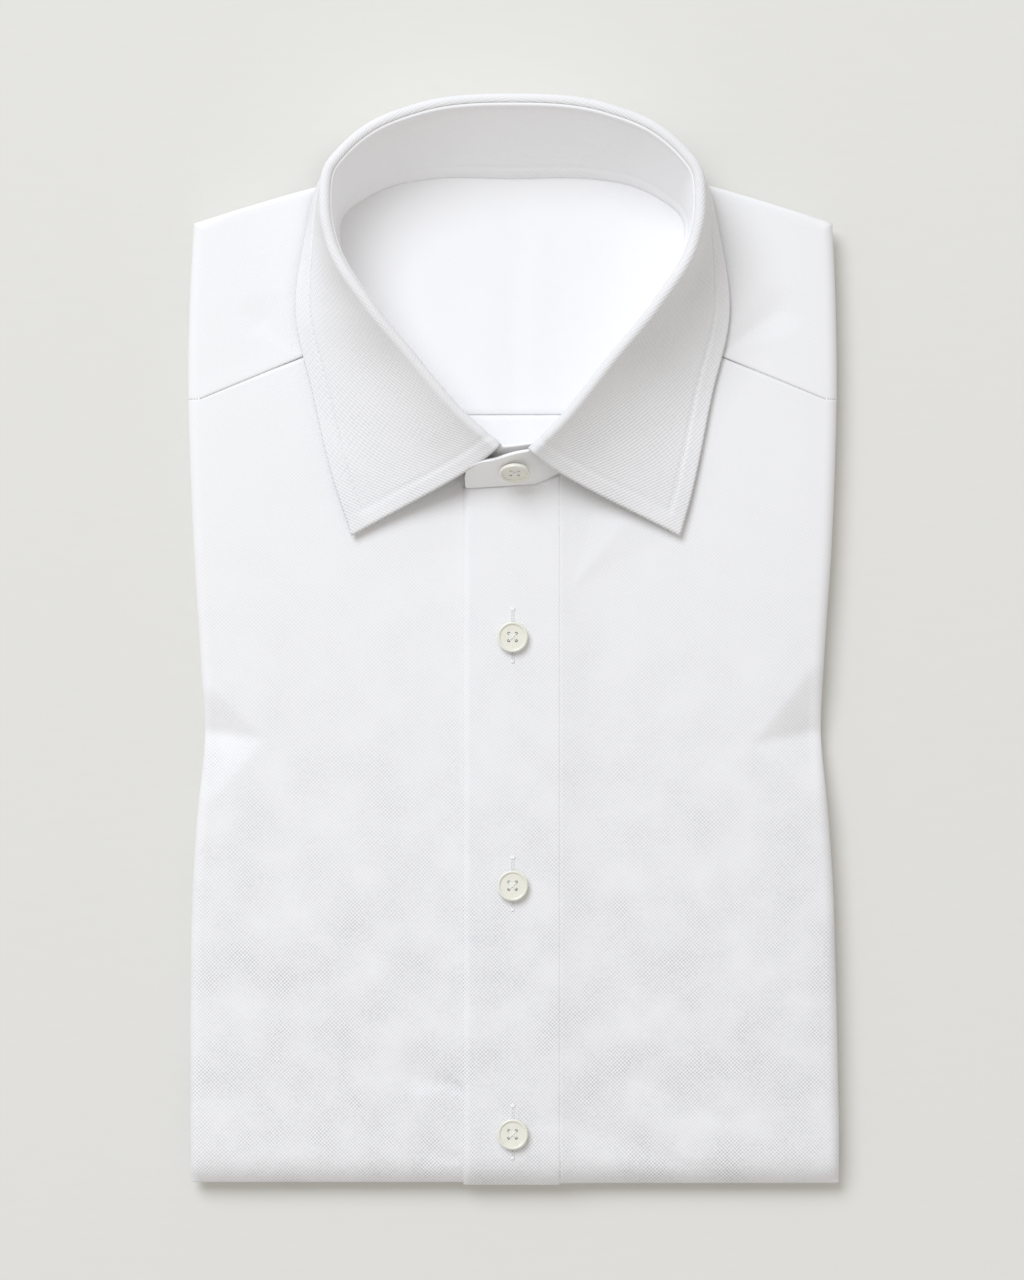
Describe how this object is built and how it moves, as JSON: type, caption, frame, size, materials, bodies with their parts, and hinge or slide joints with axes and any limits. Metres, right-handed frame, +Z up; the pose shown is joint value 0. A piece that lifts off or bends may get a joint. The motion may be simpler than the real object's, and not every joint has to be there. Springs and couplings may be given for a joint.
{
  "type": "folded dress shirt",
  "caption": "White folded dress shirt lying flat, fronts up, with a buttoned spread collar standing open and pearl buttons on its placket.",
  "frame": {"origin": "centre of the bounding box, on the surface the shirt lies on", "axes": "+Y from the bottom fold to the collar, +X to the wearer's left front, +Z up"},
  "size_m": [0.238, 0.3953, 0.0457],
  "materials": {
    "cloth": "matte",
    "pearl": "satin"
  },
  "bodies": {
    "root": {"folded_layers": "cloth", "back_panel": "cloth", "yoke_inner": "cloth", "yoke_outer": "cloth", "front_right": "cloth", "front_left": "cloth", "placket": "cloth", "collar_stand": "cloth", "collar_leaf": "cloth", "button_collar": "pearl", "button_front_1": "pearl", "button_front_2": "pearl", "button_front_3": "pearl"}
  },
  "joints": []
}
